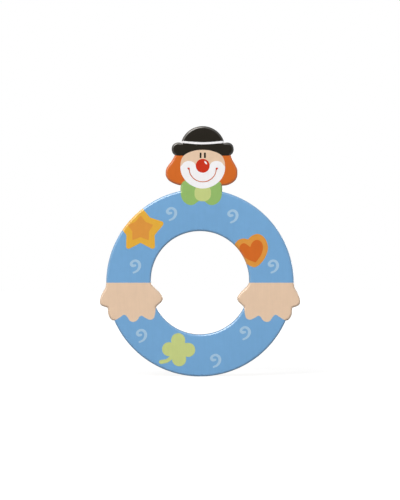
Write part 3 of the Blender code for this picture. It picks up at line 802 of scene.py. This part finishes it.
# Inks: satin print on the sanded face; over the rounded edge glossier, a little worn and with painted
# shade

inks = {
    "suit_blue": (117, 166, 209), "skin": (227, 197, 169), "hair_orange": (208, 105, 38),
    "hat_black": (29, 25, 17), "white": (242, 240, 241), "nose_red": (199, 50, 27),
    "smile_red": (194, 88, 22), "bow_green": (146, 183, 105), "leaf_green": (195, 205, 132),
    "star_yellow": (226, 172, 62), "star_amber": (219, 148, 64), "swirl_blue": (162, 194, 219),
}
inkCoat = {
    "contrast": 0.08, "mottle": (0.35, 3.0), "streak": (2.2, 2.0, 0.6), "streakShare": 0.5,
    "relief": (0.2, 0.02), "streakRelief": 0.7,
    "roughness": 0.36, "roughSpread": 0.12, "specular": 0.08,
    "wear": 0.12, "wearFall": 3.0, "nicks": (1.6, 3.0, 0.65), "nickSpan": (0.60, 0.70),
    # varnish over the slope of the rounded edge, and painted shade darkening the ink there
    "varnishAndShade": (0.08, 0.36), "drained": (0.64, 0.90), "poolGloss": 0.30, "poolIndex": 1.5,
    "paintedEdgeShade": 0.10,
}


def inkFinish(slot):
    material = bpy.data.materials.new("ink_" + slot)
    tree = ShaderTree(material)
    flat = inMillimetres(tree)
    mottle = tree.noise(flat, *inkCoat["mottle"])
    streak = tree.noise(inMillimetres(tree, uprightGrain), *inkCoat["streak"])
    tone = linear(inks[slot])[:3]
    deep = (*(v * (1 - inkCoat["contrast"]) for v in tone), 1.0)
    light = (*(min(1.0, v * (1 + inkCoat["contrast"])) for v in tone), 1.0)
    colour = tree.mixed(blend(mottle, streak, inkCoat["streakShare"]), deep, light)
    edge = tree.node("ShaderNodeAttribute", {"attribute_name": "edge"}).of("Fac")
    nicks = tree.ramp(tree.noise(flat, *inkCoat["nicks"]), *inkCoat["nickSpan"])
    worn = edge ** inkCoat["wearFall"] * nicks * inkCoat["wear"]
    colour = tree.mixed(worn, colour, linear(birch["facePale"]))
    # varnish gathers on the rounded edge and drains off its rim; painted shade darkens the ink towards
    # black there
    varnishAndShade = tree.ramp(edge, *inkCoat["varnishAndShade"]) * (1 - tree.ramp(edge, *inkCoat["drained"]))
    colour = tree.mixed(varnishAndShade * inkCoat["paintedEdgeShade"], colour, black)
    relief = tree.bump(*inkCoat["relief"], blend(mottle, streak, inkCoat["streakRelief"]))
    spread = inkCoat["roughSpread"]
    tree.finish({
        "Base Color": colour, "Roughness": inkCoat["roughness"] - spread / 2 + mottle * spread,
        "Normal": relief, "Specular IOR Level": inkCoat["specular"], "Coat Weight": varnishAndShade,
        "Coat Roughness": inkCoat["poolGloss"], "Coat IOR": inkCoat["poolIndex"]})
    return material


finishes = {slot: inkFinish(slot) for slot in inks}
finishes["birch_face"] = birchFinish("birchUpright", birch["facePale"], birch["faceDark"], uprightGrain)
finishes["birch_cross"] = birchFinish("birchLevel", birch["crossPale"], birch["crossDark"], levelGrain)
finishes["glue"] = glueFinish()
print("finishes made:", len(finishes))


def dress(piece, slot, nodes, material=None):
    piece.data.materials.clear()
    piece.data.materials.append(material or finishes[slot])
    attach(piece, "root")
    if nodes:
        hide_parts(*nodes)


# Board: five plies, the outer two rounded along their edges

plies = ("back_face_ply", "back_cross_ply", "core_ply", "front_cross_ply", "front_face_ply")
pieceNames = ("backFacePly", "backCrossPly", "corePly", "frontCrossPly", "frontFacePly")
for node, name in zip(plies, pieceNames):
    low, high = -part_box(node)[1].y / mm, -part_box(node)[0].y / mm
    plan = barePlan if node in (plies[0], plies[-1]) else flatPlan
    top = plan.front(0.0) if node == plies[-1] else atDepth(plan.spots, high)
    bottom = plan.back() if node == plies[0] else atDepth(plan.spots, low)
    ply = shell(name, plan.faces, top, bottom)
    dress(ply, "birch_cross" if "cross" in node else "birch_face", [node])
print("plies made:", len(plies))


# Geometry Nodes layouts, turned into plain meshes

def newLayout(name, inputs):
    tree = bpy.data.node_groups.new(name, "GeometryNodeTree")
    tree.interface.new_socket("Geometry", in_out="INPUT", socket_type="NodeSocketGeometry")
    for label, kind in inputs.items():
        tree.interface.new_socket(label, in_out="INPUT", socket_type="NodeSocket" + kind)
    tree.interface.new_socket("Geometry", in_out="OUTPUT", socket_type="NodeSocketGeometry")
    return tree


def layoutNode(tree, kind, settings=None, sockets=None):
    made = tree.nodes.new(kind)
    for key, value in (settings or {}).items():
        setattr(made, key, value)
    for key, value in (sockets or {}).items():
        if isinstance(value, bpy.types.NodeSocket):
            tree.links.new(value, made.inputs[key])
        else:
            made.inputs[key].default_value = value
    return made


def endLayout(tree, instances, material):
    real = layoutNode(tree, "GeometryNodeRealizeInstances", {}, {"Geometry": instances})
    painted = layoutNode(tree, "GeometryNodeSetMaterial", {}, {
        "Geometry": real.outputs[0], "Material": material})
    layoutNode(tree, "NodeGroupOutput", {}, {"Geometry": painted.outputs[0]})


def laidOut(piece, tree, values):
    modifier = piece.modifiers.new("layout", "NODES")
    modifier.node_group = tree
    for socket in tree.interface.items_tree:
        if socket.in_out == "INPUT" and socket.name in values:
            modifier[socket.identifier] = values[socket.name]
    bpy.context.view_layer.update()
    graph = bpy.context.evaluated_depsgraph_get()
    mesh = bpy.data.meshes.new_from_object(piece.evaluated_get(graph))
    piece.modifiers.remove(modifier)
    piece.data = mesh
    return piece


# Glue lines: one thin sheet, repeated between the plies

def glueLayout():
    tree = newLayout("glueLayout", {"Lines": "Int", "Pitch": "Float", "Material": "Material"})
    given = layoutNode(tree, "NodeGroupInput").outputs
    step = layoutNode(tree, "ShaderNodeCombineXYZ", {}, {"Y": given["Pitch"]})
    line = layoutNode(tree, "GeometryNodeMeshLine", {}, {
        "Count": given["Lines"], "Offset": step.outputs[0]})
    copies = layoutNode(tree, "GeometryNodeInstanceOnPoints", {}, {
        "Points": line.outputs[0], "Instance": given["Geometry"]})
    endLayout(tree, copies.outputs[0], given["Material"])
    return tree


lowest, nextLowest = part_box(plies[0]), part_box(plies[1])
sheetBack, sheetFront = -lowest[0].y / mm, -nextLowest[1].y / mm
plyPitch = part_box(plies[2])[1].y - nextLowest[1].y
glueCount = len(plies) - 1
recessed = flatPlan.spots - flatPlan.outward * glue["recess"]
sheet = shell("glueLines", flatPlan.faces, atDepth(recessed, sheetFront), atDepth(recessed, sheetBack))
glueLines = laidOut(sheet, glueLayout(), {
    "Lines": glueCount, "Pitch": plyPitch, "Material": finishes["glue"]})
dress(glueLines, "birch_cross", [], finishes["glue"])
print("glue lines laid:", glueCount)


# Prints: thin skins cut out of the plan, colour by colour

at = {name: inside(printPlan.middles, outline) for name, outline in outlines.items()}
reached, _ = cutEdge.measure(printPlan.middles)
printed = reached > wrapInset(printPlan.middles)
band = at["ring"] & ~at["hole"]
upper = printPlan.middles[:, 1] > 0
hands = at["handLeft"] | at["handRight"]
bows = at["bowLeft"] | at["bowRight"]
cloverLeaves = np.any([at[name] for name in at if name.startswith("clover")], axis=0)
overHair = at["face"] | at["brim"] | bows
leftHalf = printPlan.middles[:, 0] < bow["shift"]

# piece, node, ink, level of the coat, triangles
prints = (
    ("handLeft", "hand_left_print", "skin", 1, at["handLeft"]),
    ("handRight", "hand_right_print", "skin", 1, at["handRight"]),
    ("suitUpper", "suit_upper_print", "suit_blue", 1, band & upper & ~bows),
    ("suitLower", "suit_lower_print", "suit_blue", 1, band & ~upper & ~hands),
    ("bowLeft", "bow_left_print", "bow_green", 1, bows & leftHalf & ~at["face"]),
    ("bowRight", "bow_right_print", "bow_green", 1, bows & ~leftHalf & ~at["face"]),
    ("bowKnot", "bow_knot_print", "leaf_green", 2, at["knot"] & ~at["face"]),
    ("hairLeft", "hair_left_print", "hair_orange", 1, at["hairLeft"] & ~overHair),
    ("hairRight", "hair_right_print", "hair_orange", 1, at["hairRight"] & ~overHair),
    ("hatCrown", "hat_crown_print", "hat_black", 1, at["crown"]),
    ("hatBrim", "hat_brim_print", "hat_black", 1, at["brim"] & ~at["face"] & ~at["crown"]),
    ("hatBand", "hat_band_print", "white", 2, at["band"]),
    ("face", "face_print", "skin", 1, at["face"]),
    ("muzzle", "muzzle_print", "white", 2, at["muzzle"] & at["face"] & ~at["nose"]),
    ("nose", "nose_print", "nose_red", 2, at["nose"]),
    ("noseGlint", "nose_glint_print", "white", 3, at["glint"]),
    ("smile", "smile_print", "smile_red", 3, at["smile"]),
    ("smileEnds", None, "nose_red", 3, (at["dimpleLeft"] | at["dimpleRight"]) & ~at["smile"]),
    ("eyeLeft", "eye_left_print", "hat_black", 2, at["eyeLeft"] & ~at["nose"]),
    ("eyeRight", "eye_right_print", "hat_black", 2, at["eyeRight"] & ~at["nose"]),
    ("star", "star_print", "star_yellow", 2, at["star"]),
    ("starCentre", "star_centre_print", "star_amber", 3, at["starCentre"]),
    ("heart", "heart_print", "star_amber", 2, at["heart"]),
    ("heartCentre", "heart_centre_print", "hair_orange", 3, at["heartCentre"]),
    ("clover", "clover_print", "leaf_green", 2, cloverLeaves),
)


def coatSpan(level):
    low = coat["gap"] + (level - 1) * (coat["thickness"] + coat["gap"])
    return low, low + coat["thickness"]


for name, node, slot, level, region in prints:
    low, high = coatSpan(level)
    skin = shell(name + "Print", printPlan.faces[region & printed],
                 printPlan.front(high), printPlan.front(low), printPlan.lean)
    dress(skin, slot, [node] if node else [])
unprinted = printed & ~np.any([region for _, _, _, _, region in prints], axis=0)
print("prints made:", len(prints), "with", int(unprinted.sum()), "triangles left bare")


# Swirls: one brush stroke, repeated at its places on the suit

def swirlLayout():
    tree = newLayout("swirlLayout", {"Swirl": "Object", "Size": "Float", "Material": "Material"})
    given = layoutNode(tree, "NodeGroupInput").outputs
    shape = layoutNode(tree, "GeometryNodeObjectInfo", {}, {"Object": given["Swirl"]})
    copies = layoutNode(tree, "GeometryNodeInstanceOnPoints", {}, {
        "Points": given["Geometry"], "Instance": shape.outputs["Geometry"], "Scale": given["Size"]})
    endLayout(tree, copies.outputs[0], given["Material"])
    return tree


def oneSwirl():
    outline = swirlOutline()
    spots, faces = triangulate([outline])
    faces = faces[inside(spots[faces].mean(axis=1), outline)]
    low, high = (boardFront + lift for lift in coatSpan(swirl["coatLevel"]))
    return shell("oneSwirl", faces, atDepth(spots, high), atDepth(spots, low))


places = np.array([(*onRing(angle, outset), 0.0) for angle, outset in swirl["places"]])
pattern = oneSwirl()
swirls = laidOut(newPiece("swirlPrints", places, []), swirlLayout(), {
    "Swirl": pattern, "Size": 1.0, "Material": finishes["swirl_blue"]})
bpy.data.objects.remove(pattern)
dress(swirls, "swirl_blue", ["swirl_%d_print" % number for number in range(1, len(swirl["places"]) + 1)])
print("swirls laid:", len(swirl["places"]))


# Foam pads on the back: foam between two layers of tape, repeated round the ring

pad = {
    "count": 3, "waist": 0.10, "tape": 0.07, "tapeInset": 0.08, "tapeRound": 0.03,
    "rows": 8, "steps": 96, "innerShare": 0.5,      # fineness of the turned shapes
    "foam": (236, 234, 226), "pore": (196, 193, 184), "tapeTone": (228, 222, 202),
    "cellScale": 4.5, "cellSpan": (0.12, 0.5), "poreShare": 0.6,
    "mottle": (0.8, 3.0), "mottleShare": 0.25,
    "foamRelief": (0.6, 0.06), "foamRoughness": 0.82, "foamSpread": 0.12, "foamSpecular": 0.25,
    "ripple": (0.6, 3.0, 0.55, 0.8), "rippleShare": 0.5, "fibre": (3.2, 2.0), "fibreShare": 0.3,
    "tapeRelief": (0.4, 0.04), "fibreRelief": 0.3, "tapeRoughness": 0.22, "tapeSpread": 0.2,
}
padLow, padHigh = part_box("pad_top")
padRadius = (padHigh.x - padLow.x) / 2 / mm
padThickness = -padLow.y / mm
padReach = (padHigh.z + padLow.z) / 2


def lathe(name, profile):
    # profile runs from the axis at the door side to the axis at the board side
    steps = pad["steps"]
    turns = np.arange(steps) * 2 * math.pi / steps
    points = [(0.0, 0.0, profile[0][1])]
    for radius, depth in profile[1:-1]:
        points += [(radius * math.cos(t), radius * math.sin(t), depth) for t in turns]
    points.append((0.0, 0.0, profile[-1][1]))
    faces = [(0, 1 + (i + 1) % steps, 1 + i) for i in range(steps)]
    rows = len(profile) - 2
    for row in range(rows - 1):
        low, high = 1 + row * steps, 1 + (row + 1) * steps
        for i in range(steps):
            j = (i + 1) % steps
            faces.append((low + i, low + j, high + j, high + i))
    last = 1 + (rows - 1) * steps
    faces += [(last + i, last + (i + 1) % steps, len(points) - 1) for i in range(steps)]
    return newPiece(name, np.array(points), faces)


def foamProfile():
    low, high = pad["tape"], padThickness - pad["tape"]
    inner = padRadius * pad["innerShare"]
    side = []
    for i in range(pad["rows"] + 1):
        share = i / pad["rows"]
        side.append((padRadius - pad["waist"] * math.sin(math.pi * share), low + (high - low) * share))
    return [(0, low), (inner, low), *side, (inner, high), (0, high)]


def tapeProfile(low):
    high, bend = low + pad["tape"], pad["tapeRound"]
    radius = padRadius - pad["tapeInset"]
    inner = radius * pad["innerShare"]
    return [(0, low), (inner, low), (radius - bend, low), (radius, low + bend),
            (radius, high - bend), (radius - bend, high), (inner, high), (0, high)]


def padLayout():
    tree = newLayout("padLayout", {"Pads": "Int", "Radius": "Float", "Material": "Material"})
    given = layoutNode(tree, "NodeGroupInput").outputs
    circle = layoutNode(tree, "GeometryNodeMeshCircle", {}, {
        "Vertices": given["Pads"], "Radius": given["Radius"]})
    stood = layoutNode(tree, "GeometryNodeTransform", {}, {
        "Geometry": circle.outputs[0], "Rotation": (math.pi / 2, -math.pi / 2, 0)})
    copies = layoutNode(tree, "GeometryNodeInstanceOnPoints", {}, {
        "Points": stood.outputs[0], "Instance": given["Geometry"]})
    endLayout(tree, copies.outputs[0], given["Material"])
    return tree


def onBack(name, profile, finish):
    return laidOut(lathe(name, profile), padLayout(), {
        "Pads": pad["count"], "Radius": padReach, "Material": finishes[finish]})


def foamFinish():
    material = bpy.data.materials.new("padFoam")
    tree = ShaderTree(material)
    place = inMillimetres(tree)
    cells = tree.node("ShaderNodeTexVoronoi", {}, {"Vector": place, "Scale": pad["cellScale"]})
    pores = 1 - tree.ramp(cells, *pad["cellSpan"])
    mottle = tree.noise(place, *pad["mottle"])
    shade = pores * pad["poreShare"] + mottle * pad["mottleShare"]
    colour = tree.mixed(shade, linear(pad["foam"]), linear(pad["pore"]))
    tree.finish({
        "Base Color": colour, "Roughness": pad["foamRoughness"] + mottle * pad["foamSpread"],
        "Normal": tree.bump(*pad["foamRelief"], cells), "Specular IOR Level": pad["foamSpecular"]})
    return material


def tapeFinish():
    material = bpy.data.materials.new("padTape")
    tree = ShaderTree(material)
    place = inMillimetres(tree)
    ripple = tree.noise(place, *pad["ripple"])
    fibre = tree.noise(place, *pad["fibre"])
    shade = ripple * pad["rippleShare"] + fibre * pad["fibreShare"]
    colour = tree.mixed(shade, linear(pad["tapeTone"]), linear(pad["foam"]))
    tree.finish({
        "Base Color": colour, "Roughness": pad["tapeRoughness"] + ripple * pad["tapeSpread"],
        "Normal": tree.bump(*pad["tapeRelief"], blend(ripple, fibre, pad["fibreRelief"]))})
    return material


finishes["foam"] = foamFinish()
finishes["tape"] = tapeFinish()
foamPads = onBack("foamPads", foamProfile(), "foam")
dress(foamPads, "foam", ["pad_top", "pad_left", "pad_right"])
for name, low in (("padTapeDoor", 0.0), ("padTapeBoard", padThickness - pad["tape"])):
    dress(onBack(name, tapeProfile(low), "tape"), "foam", [], finishes["tape"])
print("pads laid:", pad["count"])


# Stage: white floor and surroundings, soft lamps above and behind, camera straight in front

stage = {
    "floorReach": 3.0, "floorTone": 0.22,
    "glowNear": 0.85, "glowFar": 1.0, "fade": (0.15, 1.0),      # white shown to the camera, by distance
    "surroundings": 0.38, "rimTint": (1.0, 0.93, 0.84),
}
view = {"distance": 1.5, "frameHeight": 0.220, "aimHeight": 0.0144, "sensor": 36.0}
# degrees off the viewing axis and round the picture from its right, metres, watts
softLamps = {
    "keyLamp": {"offAxis": 36, "around": 118, "distance": 3.0, "size": (1.30, 1.30), "power": 67.5},
    "fillLamp": {"offAxis": 38, "around": 75, "distance": 3.0, "size": (1.60, 1.60), "power": 12.0},
    "backLamp": {"offAxis": 150, "around": 12, "distance": 3.0, "size": (1.20, 1.20), "power": 50.0},
}
# warm panels that show only in the gloss of the rounded edges
rimPanel = {"distance": 1.8, "size": (1.10, 1.60)}
rimLamps = {
    "rimLampTop": {**rimPanel, "offAxis": 62, "around": 112, "power": 52.0},
    "rimLampCorner": {**rimPanel, "offAxis": 64, "around": 132, "power": 8.5},
    "rimLampLeft": {**rimPanel, "offAxis": 66, "around": 160, "power": 12.5},
}


def shownWhite(tree):
    ray = tree.node("ShaderNodeLightPath")
    shown = tree.maths("MAXIMUM", ray.of("Is Camera Ray"), ray.of("Is Glossy Ray"))
    return tree.maths("MAXIMUM", shown, ray.of("Is Transmission Ray"))


def makeFloor():
    reach, level = stage["floorReach"], cadBox[0].z
    mesh = bpy.data.meshes.new("floor")
    mesh.from_pydata([(x * reach, y * reach, level) for x, y in ((-1, -1), (1, -1), (1, 1), (-1, 1))],
                     [], [(0, 1, 2, 3)])
    floor = placed("floor", mesh)
    material = bpy.data.materials.new("paleFloor")
    tree = ShaderTree(material)
    lit = tree.node("ShaderNodeBsdfDiffuse", {}, {"Color": (stage["floorTone"],) * 3 + (1,)})
    place = tree.node("ShaderNodeTexCoord").of("Object")
    away = tree.node("ShaderNodeVectorMath", {"operation": "LENGTH"}, {0: place}).of("Value")
    strength = tree.node("ShaderNodeMapRange", {"interpolation_type": "SMOOTHSTEP"}, {
        "Value": away, "From Min": stage["fade"][0], "From Max": stage["fade"][1],
        "To Min": stage["glowNear"], "To Max": stage["glowFar"]})
    glow = tree.node("ShaderNodeEmission", {}, {"Strength": shownWhite(tree) * strength})
    tree.surface(tree.node("ShaderNodeAddShader", {}, {0: lit, 1: glow}))
    mesh.materials.append(material)


def makeSurroundings():
    world = bpy.data.worlds.new("studio")
    bpy.context.scene.world = world
    tree = ShaderTree(world)
    light = tree.node("ShaderNodeBackground", {}, {"Color": white, "Strength": stage["surroundings"]})
    shown = tree.node("ShaderNodeBackground", {}, {"Color": white, "Strength": 1.0})
    mixed = tree.node("ShaderNodeMixShader", {}, {0: shownWhite(tree), 1: light, 2: shown})
    tree.node("ShaderNodeOutputWorld", {}, {"Surface": mixed})


def makeLamp(name, lamp, glossOnly):
    data = bpy.data.lights.new(name, "AREA")
    data.shape = "RECTANGLE"
    data.size, data.size_y = lamp["size"]
    data.energy = lamp["power"]
    if glossOnly:
        data.color = stage["rimTint"]
    aim = Vector((0, -boardFront * mm, view["aimHeight"]))
    off, around = math.radians(lamp["offAxis"]), math.radians(lamp["around"])
    way = Vector((math.cos(around) * math.sin(off), -math.cos(off), math.sin(around) * math.sin(off)))
    thing = placed(name, data)
    thing.visible_diffuse = not glossOnly
    thing.location = aim + way * lamp["distance"]
    across = Vector((-math.sin(around), 0, math.cos(around)))      # the lamp's width, round the picture
    thing.rotation_euler = Matrix((across, way.cross(across), way)).transposed().to_euler()


def makeCamera():
    data = bpy.data.cameras.new("camera")
    data.sensor_width = view["sensor"]
    data.lens = view["sensor"] * view["distance"] / view["frameHeight"]     # the long side is upright
    camera = placed("camera", data)
    camera.location = (0, -boardFront * mm - view["distance"], view["aimHeight"])
    camera.rotation_euler = (math.pi / 2, 0, 0)
    bpy.context.scene.camera = camera


makeFloor()
makeSurroundings()
for name, lamp in {**softLamps, **rimLamps}.items():
    makeLamp(name, lamp, name in rimLamps)
makeCamera()
bpy.context.scene.view_settings.view_transform = "Standard"
print("stage set:", len(softLamps) + len(rimLamps), "lamps")
